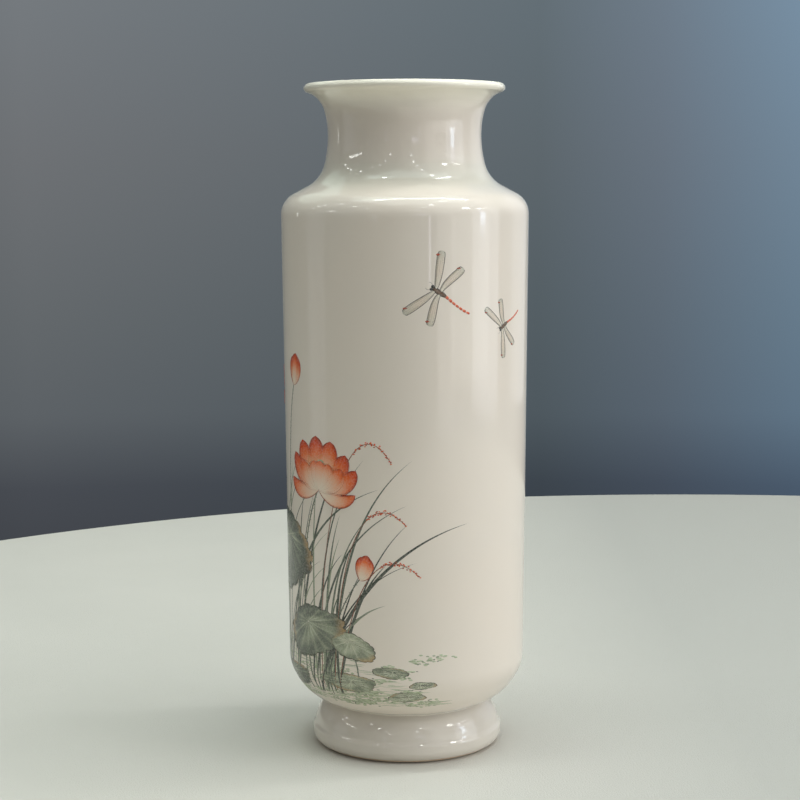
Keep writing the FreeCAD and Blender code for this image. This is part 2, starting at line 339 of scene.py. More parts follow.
def clothMaterial():
    # pale cotton cloth: matt, in two soft tones 110 mm apart, with a faint close weave of 0.7 mm, and
    # painted darker to the right of the vase as painted shade
    material, tree = newMaterial("paleCloth")
    where = addNode(tree, "ShaderNodeTexCoord")
    soft = addNode(tree, "ShaderNodeTexNoise", {"Scale": 9.0, "Detail": 3.0}, {0: where.outputs["Object"]})
    tone = addNode(
        tree, "ShaderNodeMix",
        {"data_type": "RGBA", 6: linearColour(studio["cloth"][0]), 7: linearColour(studio["cloth"][1])},
        {0: soft.outputs[0]},
    )
    parts = addNode(tree, "ShaderNodeSeparateXYZ", links={0: where.outputs["Object"]})
    # painted shade: the cloth darkens to the right of the vase, between 20 and 150 mm
    across = addNode(
        tree, "ShaderNodeMapRange", {"From Min": 0.02, "From Max": 0.15}, {0: parts.outputs["X"]}
    )
    cloth = addNode(
        tree, "ShaderNodeMix", {"data_type": "RGBA", 7: linearColour(studio["clothShadeRight"])},
        {0: across.outputs[0], 6: tone.outputs[2]},
    )
    threads = addNode(
        tree, "ShaderNodeTexNoise", {"Scale": 1400.0, "Detail": 2.0}, {0: where.outputs["Object"]}
    )
    relief = addNode(
        tree, "ShaderNodeBump", {"Strength": 0.5, "Distance": 0.0006}, {"Height": threads.outputs[0]}
    )
    surface = addNode(
        tree, "ShaderNodeBsdfPrincipled", {"Roughness": 0.85, "IOR": 1.45},
        {"Base Color": cloth.outputs[2], "Normal": relief.outputs[0]},
    )
    addNode(tree, "ShaderNodeOutputMaterial", links={0: surface.outputs[0]})
    return material


def turned(line, angles):
    # a line of (radius, height) in millimetres turned about the vase's axis; angle 0 faces the camera
    radius, height = line[..., 0], line[..., 1]
    return np.stack([radius * np.sin(angles), -radius * np.cos(angles), height + 0 * angles], -1) * millimetre


def layTable():
    # a round table top with rolled edges
    outer, edge = studio["tableRadius"] / millimetre, studio["tableEdge"] / millimetre
    line = roundedLine([(0, 0, 0), (outer, 0, edge), (outer, -3 * edge, edge), (0, -3 * edge, 0)], 30)
    angles = np.linspace(0, 2 * math.pi, 180, endpoint=False)
    points = turned(line[::-1][:, None, :], angles)
    points[..., 0] += studio["tableCentre"][0]
    points[..., 1] += studio["tableCentre"][1]
    points[..., 2] -= studio["tableDrop"]
    table = gridMesh("table", [(points[None], points[None, ..., 0])], "across")
    table.data.materials.append(clothMaterial())


placeCamera()
placeLights()
paintRoom()
layTable()
print("studio ready")

# Glaze and bare clay, with lengths in millimetres
glaze = {
    "warm": "#ebdfd0",
    "cool": "#e6ded2",
    "pooled": "#cbd3c1",
    # the lip's whiter tone: thin glaze there, and painted light for the glow of the thin edge
    "lip": "#fdf7e6",
    # the foot's greyer tone: painted shade under the body's overhang
    "foot": "#dad3c7",
    "speck": "#6d5137",
    "segments": {"glaze_outside": 240, "glaze_inside": 180, "glaze_base": 160},
    "spacing": 1.25,
    "hiddenSpacing": 4,  # the clay side keeps every fourth ring
    "waveDepth": 0.05,
    "waveStart": (4, 14),  # heights over which the waves set in and die out
    "waveEnd": (272, 284),
    "ringDepth": 0.22,
    "ringPitch": 7.5,
    "ringStart": (6, 40),  # lengths from the lip over which the rings set in
    "poolBend": 12,  # how strongly glaze pools where the section is hollow and faces up
    "poolStart": 0.4,
    "poolSpread": 3.5,
}
clay = {
    "biscuit": "#e2d6c2",
    "flushed": "#b98d66",
    "slip": "#ddd4c3",
}


def glazeNodes(tree):
    # The colour, roughness and relief of the glaze, for the glaze itself and for what is painted
    # on it. Mottling runs over 45 mm, specks lie about 14 mm apart, ripples are 7 and 1.2 mm long
    # and upright runs 5 mm apart. Towards the lip the glaze is whiter: it runs thin there, and the
    # white is also painted light, the glow through the thin edge and light thrown up from the cloth.
    # On the foot it is greyer: painted shade, where the body's overhang shades the foot
    where = addNode(tree, "ShaderNodeTexCoord").outputs["Object"]
    cloud = addNode(tree, "ShaderNodeTexNoise", {"Scale": 22.0, "Detail": 2.0}, {0: where})
    body = addNode(
        tree, "ShaderNodeMix",
        {"data_type": "RGBA", 6: linearColour(glaze["warm"]), 7: linearColour(glaze["cool"])},
        {0: cloud.outputs[0]},
    )
    pooling = addNode(tree, "ShaderNodeAttribute", {"attribute_name": "pooling"})
    cells = addNode(tree, "ShaderNodeTexVoronoi", {"Scale": 70.0}, {0: where})
    chosen = addNode(tree, "ShaderNodeSeparateColor", links={0: cells.outputs["Color"]})
    near = addNode(
        tree, "ShaderNodeMapRange", {"From Min": 0.014, "From Max": 0.005}, {0: cells.outputs["Distance"]}
    )
    some = addNode(
        tree, "ShaderNodeMath", {"operation": "GREATER_THAN", 1: 0.8}, {0: chosen.outputs[0]}
    )
    spot = addNode(
        tree, "ShaderNodeMath", {"operation": "MULTIPLY"}, {0: near.outputs[0], 1: some.outputs[0]}
    )
    faint = addNode(tree, "ShaderNodeMath", {"operation": "MULTIPLY", 1: 0.55}, {0: spot.outputs[0]})
    height = addNode(tree, "ShaderNodeSeparateXYZ", links={0: where}).outputs["Z"]
    # whiter towards the lip: thin glaze and painted light
    drainedLipGlow = addNode(tree, "ShaderNodeMapRange", {"From Min": 0.276, "From Max": 0.2885}, {0: height})
    # greyer on the foot: painted shade under the body's overhang
    footShade = addNode(tree, "ShaderNodeMapRange", {"From Min": 0.023, "From Max": 0.0195}, {0: height})
    layered = [  # each colour laid over those before it by its own share
        (pooling.outputs["Fac"], "pooled"), (faint.outputs[0], "speck"),
        (drainedLipGlow.outputs[0], "lip"), (footShade.outputs[0], "foot"),
    ]
    colour = body.outputs[2]
    for share, tone in layered:
        over = addNode(
            tree, "ShaderNodeMix", {"data_type": "RGBA", 7: linearColour(glaze[tone])}, {0: share, 6: colour}
        )
        colour = over.outputs[2]
    upright = addNode(tree, "ShaderNodeVectorMath", {"operation": "MULTIPLY", 1: (1, 1, 0.06)}, {0: where})
    reliefs = [  # runs, ripples and pits, each laid over those before it
        (upright.outputs[0], 210.0, 2.0, 0.00003), (where, 140.0, 1.0, 0.00003),
        (where, 850.0, 1.0, 0.0000035),
    ]
    links = {}
    for place, scale, detail, depth in reliefs:
        rough = addNode(tree, "ShaderNodeTexNoise", {"Scale": scale, "Detail": detail}, {0: place})
        links["Height"] = rough.outputs[0]
        relief = addNode(tree, "ShaderNodeBump", {"Strength": 1.0, "Distance": depth}, links)
        links["Normal"] = relief.outputs[0]
    return colour, relief.outputs[0]


def glazeMaterial():
    # glossy feldspar glaze on porcelain: a hard clear shine over a warm greyish white
    material, tree = newMaterial("porcelainGlaze")
    colour, relief = glazeNodes(tree)
    surface = addNode(
        tree, "ShaderNodeBsdfPrincipled", {"Roughness": 0.07, "IOR": 1.52},
        {"Base Color": colour, "Normal": relief},
    )
    addNode(tree, "ShaderNodeOutputMaterial", links={0: surface.outputs[0]})
    return material


def clayMaterial(name, colour, fired):
    # unglazed fired porcelain: dry and matt, with a fine grain of 0.3 mm, flushed brown by the
    # fire beside the glaze line
    material, tree = newMaterial(name)
    where = addNode(tree, "ShaderNodeTexCoord").outputs["Object"]
    grain = addNode(tree, "ShaderNodeTexNoise", {"Scale": 3300.0, "Detail": 3.0}, {0: where})
    cloud = addNode(tree, "ShaderNodeTexNoise", {"Scale": 160.0, "Detail": 3.0}, {0: where})
    parts = addNode(tree, "ShaderNodeSeparateXYZ", links={0: where})
    low = addNode(
        tree, "ShaderNodeMapRange", {"From Min": 0.0002, "From Max": 0.0013}, {0: parts.outputs["Z"]}
    )
    flush = addNode(
        tree, "ShaderNodeMath", {"operation": "MULTIPLY"}, {0: low.outputs[0], 1: cloud.outputs[0]}
    )
    tone = addNode(
        tree, "ShaderNodeMix",
        {"data_type": "RGBA", 6: linearColour(colour), 7: linearColour(fired)}, {0: flush.outputs[0]},
    )
    relief = addNode(
        tree, "ShaderNodeBump", {"Strength": 0.6, "Distance": 0.00006}, {"Height": grain.outputs[0]}
    )
    surface = addNode(
        tree, "ShaderNodeBsdfPrincipled", {"Roughness": 0.72, "IOR": 1.5},
        {"Base Color": tone.outputs[2], "Normal": relief.outputs[0]},
    )
    addNode(tree, "ShaderNodeOutputMaterial", links={0: surface.outputs[0]})
    return material


def withBeads(line):
    # on the hollow's wall each bead rises as rise * (1 - (2d / width)²) at a distance d from its middle
    low, high = vase["straightWall"]
    straight = (line[:, 0] > vase["straightRadius"]) & (line[:, 1] > low) & (line[:, 1] < high)
    for height in vase["beadHeights"]:
        apart = 2 * (line[:, 1] - height) / vase["beadWidth"]
        line[:, 0] -= straight * vase["beadRise"] * np.clip(1 - apart**2, 0, 1)
    return line


def unevenWall(angles, height):
    # how far thrown walls stray inwards: three slow waves round the wall and up it, about waveDepth deep
    swing = (
        np.sin(2 * angles + height / 31)
        + 0.7 * np.sin(3 * angles - height / 17 + 1.3)
        + 0.6 * np.sin(5 * angles + height / 11 + 0.4)
    )
    window = smoothStep(*glaze["waveStart"], height) * (1 - smoothStep(*glaze["waveEnd"], height))
    return -glaze["waveDepth"] * window * (0.6 + swing / 4.6)


def throwingRings(along, angles):
    # one finger spiral along the hollow: a ridge for each ringPitch of length, with uneven depth
    turn = along / glaze["ringPitch"] + angles / (2 * math.pi)
    depth = glaze["ringDepth"] * (0.65 + 0.35 * np.sin(along / 23))
    return depth * (0.5 + 0.5 * np.cos(2 * math.pi * turn)) * smoothStep(*glaze["ringStart"], along)


def glazeCoat(name, line, relief, node):
    # A closed coat: the line, moved out by its relief, and the clay side a coat's thickness in.
    # Pooling is the section's bend where it is hollow and faces up, spread along the line as a bell
    angles = np.linspace(0, 2 * math.pi, glaze["segments"][name], endpoint=False)
    normal = sideways(line)
    along = np.concatenate([[0], np.cumsum(np.linalg.norm(np.diff(line, axis=0), axis=1))])
    shown = line[:, None, :] + normal[:, None, :] * relief(along[:, None], angles, line[:, 1:2])[..., None]
    back = (line - normal * vase["coat"])[::-1]
    keep = np.unique(np.concatenate([np.arange(0, len(back), glaze["hiddenSpacing"]), [len(back) - 1]]))
    hidden = back[keep][:, None, :] + 0 * angles[:, None]
    points = turned(np.concatenate([shown, hidden]), angles)
    turning = np.gradient(np.unwrap(np.arctan2(normal[:, 1], normal[:, 0])))
    bend = turning / np.maximum(np.gradient(along), 1e-6)
    hollow = np.clip(-bend * glaze["poolBend"] - glaze["poolStart"], 0, 1) * np.clip(normal[:, 1] * 2, 0, 1)
    bell = np.exp(-0.5 * (np.arange(-9, 10) / glaze["poolSpread"]) ** 2)
    pool = np.convolve(hollow, bell / bell.sum(), "same")
    pool = np.concatenate([pool, np.zeros(len(keep))])[:, None] + 0 * angles
    touchesAxis = line[0, 0] < 1e-6 or line[-1, 0] < 1e-6
    piece = gridMesh(name, [(points[None], pool[None])], "pooling", wrapRows=not touchesAxis)
    piece.data.set_sharp_from_angle(angle=math.radians(50))
    finishPiece(piece, glazeSkin, "glaze", node)


glazeSkin = glazeMaterial()
biscuit = clayMaterial("biscuitPorcelain", clay["biscuit"], clay["flushed"])
slipClay = clayMaterial("lutingSlip", clay["slip"], clay["slip"])
sectionParts = ["recess", "foot", "body", "neck", "lip", "hollowNeck", "hollowWall", "hollowFloor"]
section = roundedLine([corner for part in sectionParts for corner in vase[part]], glaze["spacing"])
crestRadius = (vase["lip"][-2][0] + vase["lip"][-1][0]) / 2
bore = int(np.argmin(section[:, 1]))
outside = (section[bore:, 1] >= vase["outerGlazeLine"]) & (section[bore:, 0] > vase["rimRadius"])
outerStart = bore + int(np.argmax(outside))
baseEnd = bore - int(np.argmax(section[bore::-1, 1] >= vase["baseGlazeLine"]))
top = int(np.argmax(section[:, 1]))
crest = top + int(np.argmax(section[top:, 0] <= crestRadius))
glazeCoat(
    "glaze_outside", section[outerStart:crest + 1],
    lambda along, angles, height: unevenWall(angles, height), "outer_glaze",
)
glazeCoat(
    "glaze_inside", withBeads(section[crest:].copy()),
    lambda along, angles, height: throwingRings(along, angles), "inner_glaze",
)
glazeCoat(
    "glaze_base", section[:baseEnd + 1],
    lambda along, angles, height: 0 * angles * height, "base_glaze",
)
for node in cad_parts.values():
    isSlip = "slip" in node.name
    node.data.materials.clear()
    node.data.materials.append(slipClay if isSlip else biscuit)
print("vase ready")

# Painting over the glaze: a lotus pond in iron red, ink and soft greens. A place is (across, up) in
# millimetres: across runs round the wall to the right from the line that faces the camera
pigments = {
    "ink": "#2b2e2a",
    "inkGreen": "#414c40",
    "leafDark": "#596554",
    "leafMid": "#8a9879",
    "leafPale": "#bcc5a4",
    "moss": "#9fb088",
    "ochre": "#c09a66",
    "umber": "#6b503a",
    "ironDark": "#a5330f",
    "ironRed": "#d64a1a",
    "coral": "#ec7438",
    "blush": "#f2b28c",
    "cream": "#f1dcc2",
    "amber": "#d8a24c",
}
washes = {  # pigments in the order in which they blend, each with its density
    "pad": [("leafPale", 0.7), ("leafMid", 0.85), ("leafDark", 0.95), ("inkGreen", 1.0), ("ink", 1.0)],
    "vein": [("inkGreen", 1.0), ("ink", 1.0)],
    "padRim": [("inkGreen", 1.0), ("umber", 1.0)],
    "stem": [("leafMid", 0.9), ("leafDark", 0.95), ("inkGreen", 1.0)],
    "reed": [("leafPale", 0.8), ("leafMid", 0.9), ("leafDark", 1.0), ("inkGreen", 1.0), ("ink", 1.0)],
    "petal": [("cream", 0.75), ("blush", 0.9), ("coral", 1.0), ("ironRed", 1.0), ("ironDark", 1.0)],
    "red": [("coral", 1.0), ("ironRed", 1.0), ("ironDark", 1.0)],
    "pod": [("leafPale", 0.9), ("moss", 1.0)],
    "stalk": [("umber", 1.0), ("ironDark", 1.0)],
    "wing": [("leafPale", 0.25), ("ochre", 0.25), ("leafMid", 0.4)],
    "chest": [("umber", 1.0), ("ink", 1.0)],
    "water": [("leafPale", 0.6), ("moss", 0.75), ("leafMid", 0.85)],
}
strokes = {
    "sunk": 0.02,  # a stroke's edges lie this far under the glaze
    "padSunk": 0.03,  # and the underside of a pad this far
    "overlap": 0.008,  # each petal lies this much over the last
    "vein": 0.26,  # half widths
    "fork": 0.16,
    "padRim": 0.16,
    "petalLine": 0.11,
    "petalRim": 0.15,
    "stamen": 0.1,
    "fineInk": 0.07,  # a dragonfly's legs and the cross veins of its wings
    "wingLines": [(-0.97, 0.16), (-0.5, 0.1), (0, 0.12), (0.5, 0.1), (0.97, 0.16)],  # share, half width
    "weedLow": 26.5,  # duckweed stays over the heel's bend
}
random = np.random.default_rng(11)
layers = {
    "enamel_pads": [], "enamel_leaf_veins": [], "enamel_stems": [], "enamel_reeds": [],
    "enamel_petals": [], "enamel_petal_lines": [], "enamel_waterweed": [], "enamel_dragonflies": [],
}
wallLine = section[outerStart:crest + 1]
paintedLow, paintedHigh = vase["paintedWall"]
wallLine = wallLine[(wallLine[:, 1] > paintedLow) & (wallLine[:, 1] < paintedHigh)]
wallNormal = sideways(wallLine)


def onWall(place, lift):
    # a painted place, lifted off the glaze along its normal by lift millimetres
    angles = place[..., 0] / vase["paintRadius"]
    height = place[..., 1]
    lift = lift + unevenWall(angles, height)
    radius = np.interp(height, wallLine[:, 1], wallLine[:, 0])
    outward = np.interp(height, wallLine[:, 1], wallNormal[:, 0])
    upward = np.interp(height, wallLine[:, 1], wallNormal[:, 1])
    return turned(np.stack([radius + outward * lift, height + upward * lift], -1), angles)


def curve(control, count):
    # cubic curves through time t: (1-t)³a + 3t(1-t)²b + 3t²(1-t)c + t³d, for controls (curves, 4, 2)
    t = np.linspace(0, 1, count)[:, None]
    weights = np.concatenate([(1 - t) ** 3, 3 * t * (1 - t) ** 2, 3 * t * t * (1 - t), t**3], 1)
    return np.einsum("tk,nkc->ntc", weights, np.asarray(control, float))


def belly(count, rise, fall):
    # the swell of a stroke: u^rise * (1-u)^fall, scaled to 1 at its widest
    u = np.linspace(0, 1, count)
    return u**rise * (1 - u) ** fall / ((rise / (rise + fall)) ** rise * (fall / (rise + fall)) ** fall)


def blended(names, shares):
    # pigment colours mixed in order as a share runs from 0 to 1, with their density as a fourth value
    colours = np.array([linearColour(pigments[name])[:3] for name, density in names])
    density = np.array([density for name, density in names])
    stops = np.linspace(0, 1, len(names))
    mixed = [np.interp(shares, stops, colours[:, i]) for i in range(3)]
    return np.stack([*mixed, np.interp(shares, stops, density)], -1)


def plain(name, density=1.0):
    # one pigment all over
    return blended([(name, density)] * 2, 0.0)


def acrossLine(centre):
    # unit vectors to the left of each line
    along = np.gradient(centre, axis=1)
    along /= np.maximum(np.linalg.norm(along, axis=2, keepdims=True), 1e-9)
    return np.stack([-along[..., 1], along[..., 0]], -1)


def brush(layer, centre, halfWidth, lift, colour, columns=5):
    # Strokes: the place is centre + left * halfWidth * v for v from -1 to 1. The paint stands lift
    # high in the middle, falls as v⁴ to its edges, which lie just under the glaze, and is closed below
    v = np.linspace(1, -1, columns)
    side = acrossLine(centre) * halfWidth[..., None]
    place = centre[:, :, None, :] + side[:, :, None, :] * v[:, None]
    raised = (lift + strokes["sunk"]) * (1 - v**4) - strokes["sunk"]
    colour = np.broadcast_to(colour, (*place.shape[:3], 4))
    layers[layer].append((onWall(place, raised)[:, ::-1], colour[:, ::-1]))


def lotusPad(middle, size, tilt, eye, tone, lift):
    # A leaf seen at a slant: from its eye to a rim that is an ellipse of half axes size, turned by
    # tilt, waved, and drawn in at each vein by depth * |cos(veins * angle / 2)|⁶. The wash is dark
    # between the veins and towards the rim, pale along the veins, and rusty on parts of the rim
    rows, veins, perVein = 16, 17, 8
    around = np.linspace(0, 2 * math.pi, veins * perVein, endpoint=False)
    phase = random.uniform(0, 6, 3)
    wave = 1 + 0.05 * np.sin(3 * around + phase[0]) + 0.035 * np.sin(5 * around + phase[1])
    wave -= 0.06 * np.abs(np.cos(around * veins / 2)) ** 6
    flat = np.stack([size[0] * wave * np.cos(around), size[1] * wave * np.sin(around)], -1)
    t = math.radians(tilt)
    spin = np.array([[math.cos(t), math.sin(t)], [-math.sin(t), math.cos(t)]])
    rim = flat @ spin + middle
    heart = np.array(eye) @ spin + middle
    outwards = np.linspace(0.02, 1, rows)[:, None]
    place = heart + (rim - heart) * outwards[..., None]
    sector = np.interp(around * veins / (2 * math.pi), np.arange(veins), random.uniform(-1, 1, veins))
    fold = np.abs(np.sin(around * veins / 2 + math.pi / 2)) ** 5
    wash = tone + 0.3 * (outwards - 0.5) + 0.13 * sector - 0.3 * fold * (1 - 0.6 * outwards)
    wash = wash + 0.08 * np.sin(9 * outwards + 3 * around + phase[2])
    colour = blended(washes["pad"], wash)
    rust = 0.75 * smoothStep(0.72, 1.0, outwards) * smoothStep(0.1, 0.9, np.sin(2 * around + phase[0]))
    colour = colour + (plain("ochre") - colour) * rust[..., None]
    under = place[::-3]  # the underside keeps every third row
    lifts = [np.full(rows - 1, lift), [-strokes["sunk"]], np.full(len(under), -strokes["padSunk"])]
    points = onWall(np.concatenate([place, under]), np.concatenate(lifts)[:, None])
    colour = np.concatenate([colour, colour[::-3]])
    layers["enamel_pads"].append((points[None, :, ::-1], colour[None, :, ::-1]))
    arms = rim[::perVein] - heart
    sway = random.uniform(-0.05, 0.05, (veins, 1)) * np.stack([-arms[:, 1], arms[:, 0]], -1)
    control = [heart + arms * 0.04, heart + arms * 0.35 + sway, heart + arms * 0.7 + sway, heart + arms]
    dark = blended(washes["vein"], random.uniform(0, 1, veins))[:, None, None, :]
    half = strokes["vein"] * belly(12, 0.15, 0.5)
    brush("enamel_leaf_veins", curve(np.stack(control, 1), 12), half, lift + 0.02, dark, 3)
    forks = []
    for turn in (-1, 1):
        root = heart + arms * random.uniform(0.4, 0.55, (veins, 1))
        end = heart + (np.roll(arms, -turn, 0) * 0.3 + arms * 0.7) * 0.97
        forks.append(np.stack([root, root * 0.6 + end * 0.4 + sway * 0.4, root * 0.3 + end * 0.7, end], 1))
    forks = np.concatenate(forks)
    half = strokes["fork"] * belly(9, 0.15, 0.6)
    brush("enamel_leaf_veins", curve(forks, 9), half, lift + 0.02, np.tile(dark, (2, 1, 1, 1)), 3)
    edge = np.concatenate([rim, rim[:2]])
    half = strokes["padRim"] * (1 + 0.5 * np.sin(np.arange(len(edge)) / 5))
    brush("enamel_leaf_veins", edge[None], half, lift + 0.015, blended(washes["padRim"], 0.3), 3)


def dots(places, size, lift, pigment, layer, stretch=1.0, density=1.0):
    # small round touches of the brush's tip
    reach = np.array([[stretch * size, 0.0]])
    control = np.stack([places - reach, places - reach * 0.3, places + reach * 0.3, places + reach], 1)
    swell = np.sqrt(np.clip(1 - np.linspace(-1, 1, 7) ** 2, 0, 1))
    half = size * swell * random.uniform(0.8, 1.15, (len(places), 1))
    brush(layer, curve(control, 7), half, lift, plain(pigment, density), 3)


def stem(path, width, lift, tone):
    # a lotus stalk: one long stroke, with ink prickles on both sides
    count = 90
    line = curve([path], count)
    shade = blended(washes["stem"], tone + np.linspace(-0.35, 0.35, 5))
    half = width * (1 - 0.35 * np.linspace(0, 1, count))
    brush("enamel_stems", line, half, lift, shade)
    steps = int(np.linalg.norm(np.diff(line[0], axis=0), axis=1).sum() / 1.5)
    spots = np.linspace(2, count - 3, steps) + random.uniform(-0.3, 0.3, steps)
    at = np.clip(spots, 0, count - 1).astype(int)
    side = np.where(np.arange(steps) % 2 == 0, 1, -1)[:, None] * (width * 0.9 + 0.12)
    dots(line[0][at] + acrossLine(line)[0][at] * side, 0.2, lift + 0.01, "ink", "enamel_stems")


def petal(base, angle, length, width, lift, depth, curl=0.12):
    # One petal from its base towards an angle in degrees from upright, that bends inwards by a share
    # of that angle. Its colour deepens to the tip, and fine lines follow it from base to tip

    def towards(share, reach):
        a = math.radians(angle * share)
        return np.array(base) + reach * length * np.array([math.sin(a), math.cos(a)])

    count = 18
    line = curve([[base, towards(1 + curl, 0.35), towards(1 + curl, 0.75), towards(1 - curl, 1.0)]], count)
    u = np.linspace(0, 1, count)[:, None]
    v = np.linspace(1, -1, 9)
    flush = np.clip(u**1.6 * depth + 0.3 * np.abs(v) ** 3 * u + random.uniform(-0.06, 0.06), 0, 1)
    half = width * belly(count, 0.85, 0.7)
    brush("enamel_petals", line, half, lift, blended(washes["petal"], flush), 9)
    side = acrossLine(line) * half[:, None]
    fine = np.concatenate([line[:, 4:17] + side[:, 4:17] * share for share in np.linspace(-0.78, 0.78, 7)])
    red = blended(washes["red"], np.linspace(0.2, 1.2, 13)[:, None])
    brush("enamel_petal_lines", fine, strokes["petalLine"] * belly(13, 0.7, 0.3), lift + 0.004, red, 3)
    rims = np.concatenate([line + side, line - side])
    half = strokes["petalRim"] * belly(count, 0.15, 0.25)
    brush("enamel_petal_lines", rims, half, lift + 0.006, plain("ironDark"), 3)


def blossom(middle, length, lean, lift, opened=1.0):
    # An open lotus, from the back: upright petals in a fan, side petals, two that droop, the pod
    # with its stamens, and cupped petals in front
    fans = [  # angles, reach, width and depth of colour, with the pod at the empty row
        ((-38, 40, -13, 15), 1.0, 0.235, 0.9),
        ((-66, 64), 1.0, 0.2, 0.85),
        ((-100, 96), 0.9, 0.15, 0.7),
        ((), 0, 0, 0),
        ((-56, 53), 0.74, 0.22, 0.75),
        ((-25, 24, 1), 0.56, 0.22, 0.6),
    ]
    step = 0
    for angles, reach, width, depth in fans:
        if not angles:
            stamens(middle, length, lean, lift + strokes["overlap"] * step)
            step += 2
        for angle in angles:
            jitter = random.uniform(-1, 1, 3)
            size = length * (1 + 0.05 * jitter[1])
            petal(
                middle, angle * opened + lean + 3 * jitter[0], size * reach,
                size * width * (1 + 0.06 * jitter[2]), lift + strokes["overlap"] * step, depth,
            )
            step += 1


def stamens(middle, length, lean, lift):
    # the pale pod in the heart of the flower, and a ring of amber stamens around it
    count = 34
    a = math.radians(lean)
    up = np.array([math.sin(a), math.cos(a)])
    pod = np.array([[np.array(middle) + up * length * share for share in (0.3, 0.42, 0.52, 0.6)]])
    shade = blended(washes["pod"], np.linspace(0, 1, 5))
    brush("enamel_petals", curve(pod, 12), length * 0.13 * belly(12, 0.7, 0.15), lift, shade)
    angle = np.radians(np.linspace(-58, 58, count)) + a
    reach = length * random.uniform(0.56, 0.7, count)[:, None]
    way = np.stack([np.sin(angle), np.cos(angle)], -1)
    root, tip = middle + way * length * 0.25, middle + way * reach
    control = np.stack([root, root * 0.6 + tip * 0.4, root * 0.2 + tip * 0.8, tip], 1)
    half = np.full(7, strokes["stamen"])
    brush("enamel_petal_lines", curve(control, 7), half, lift + 0.003, plain("amber"), 3)
    dots(tip, 0.3, lift + 0.005, "amber", "enamel_petal_lines")


def bud(middle, length, lean, lift):
    # a closed lotus: two side petals behind one pointed petal, tipped in iron red
    for step, (angle, width, reach) in enumerate([(-12, 0.23, 0.9), (11, 0.23, 0.93), (0, 0.25, 1.0)]):
        petal(
            middle, angle + lean, length * reach, length * width,
            lift + strokes["overlap"] * step, 1.0, 0.6 if angle else 0,
        )


def reeds(starts, leans, lengths, bows, width, lift, tones):
    # Leaves of reed: each rises from its start, leans by an angle from upright in degrees and bows
    # over by a share of its length
    leans, lengths, bows = np.radians(leans), lengths[:, None], bows[:, None]
    way = np.stack([np.sin(leans), np.cos(leans)], -1)
    fallSide = np.stack([np.cos(leans), -np.sin(leans)], -1)
    control = np.stack([
        starts,
        starts + way * lengths * 0.4,
        starts + way * lengths * 0.75 + fallSide * lengths * bows * 0.25,
        starts + way * lengths * (1 - 0.25 * np.abs(bows)) + fallSide * lengths * bows,
    ], 1)
    shade = blended(washes["reed"], tones)
    half = width[:, None] * belly(64, 0.3, 0.9)
    brush("enamel_reeds", curve(control, 64), half, lift, shade[:, None, None, :])


def knotweed(root, bend, tip, lift):
    # a thin stalk that arches over and ends in a drooping spike of iron red grains
    count, grains = 80, 46
    line = curve([[root, *bend, tip]], count)
    half = 0.28 - 0.12 * np.linspace(0, 1, count)
    brush("enamel_stems", line, half, lift, blended(washes["stalk"], 0.4))
    at = np.linspace(0.68, 1, grains) * (count - 1)
    places = np.stack([np.interp(at, np.arange(count), line[0, :, i]) for i in (0, 1)], -1)
    spread = 0.9 * np.sin(np.linspace(0.25, math.pi, grains)) + 0.15
    places += random.uniform(-1, 1, (grains, 2)) * spread[:, None]
    for first, pigment in enumerate(["coral", "ironRed", "ironDark"]):
        dots(places[first::3], 0.34, lift + 0.02, pigment, "enamel_stems", 1.2)


def dragonfly(middle, heading, span, lift):
    # Two pairs of clear wings with ink edges and cross veins, a chest in ink, an iron red tail in
    # seven rings and two round eyes. Lengths are shares of the span, along and left of its heading
    layer = "enamel_dragonflies"
    h = math.radians(heading)
    axes = np.array([[math.cos(h), math.sin(h)], [-math.sin(h), math.cos(h)]])

    def at(ahead, left):
        return np.array(middle) + span * (np.array([ahead, left]) @ axes)

    wings = []
    for side in (-1, 1):
        for root, sweep, reach in ((0.06, 0.2, 0.49), (-0.02, -0.1, 0.45)):
            middleLine = [
                (root, 0), (root + 0.035, 0.3 * reach),
                (root + sweep * 0.75, 0.72 * reach), (root + sweep, reach),
            ]
            wings.append([at(ahead, side * left) for ahead, left in middleLine])
    count = 24
    line = curve(wings, count)
    half = span * 0.056 * belly(count, 0.55, 0.22)
    brush(layer, line, half, lift, blended(washes["wing"], np.linspace(0, 1, count)[:, None]))
    side = acrossLine(line) * half[:, None]
    ink = plain("ink")
    for share, width in strokes["wingLines"]:
        brush(layer, line + side * share, width * belly(count, 0.1, 0.1), lift + 0.01, ink, 3)
    steps = np.arange(4, count - 1)
    bars = np.stack([line[:, steps] + side[:, steps] * share for share in (-0.95, 0, 0.95)], 2)
    brush(layer, bars.reshape(-1, 3, 2), np.full(3, strokes["fineInk"]), lift + 0.008, ink, 3)
    leading = np.array([1, 1, -1, -1])[:, None]
    dots(line[:, 20] + side[:, 20] * 0.8 * leading, span * 0.02, lift + 0.02, "ironDark", layer, 1.6)
    joints = np.array([at(-0.1 - 0.43 * k / 7, 0.03 * math.sin(2.4 * k / 7)) for k in range(8)])
    control = np.stack([joints[:-1] + (joints[1:] - joints[:-1]) * share for share in (0, 0.33, 0.67, 1)], 1)
    thick = span * np.array([0.022, 0.021, 0.019, 0.018, 0.018, 0.02, 0.017])[:, None]
    red = blended(washes["red"], np.linspace(0, 1, 8)[:, None])
    brush(layer, curve(control, 8), thick * belly(8, 0.08, 0.12), lift + 0.02, red)
    chest = [[at(-0.12, 0), at(-0.05, 0), at(0.04, 0), at(0.1, 0)]]
    shade = blended(washes["chest"], np.abs(np.linspace(-1, 1, 5)))
    brush(layer, curve(chest, 16), span * 0.042 * belly(16, 0.5, 0.4), lift + 0.03, shade)
    dots(np.array([at(0.115, 0.02), at(0.115, -0.02)]), span * 0.026, lift + 0.04, "ink", layer)
    legs = [
        [at(0.09, 0), at(0.13, side * 0.05), at(0.16, side * 0.06), at(0.19, side * 0.045)]
        for side in (-1, 1)
    ]
    brush(layer, curve(legs, 10), np.full(10, strokes["fineInk"]), lift + 0.01, ink, 3)


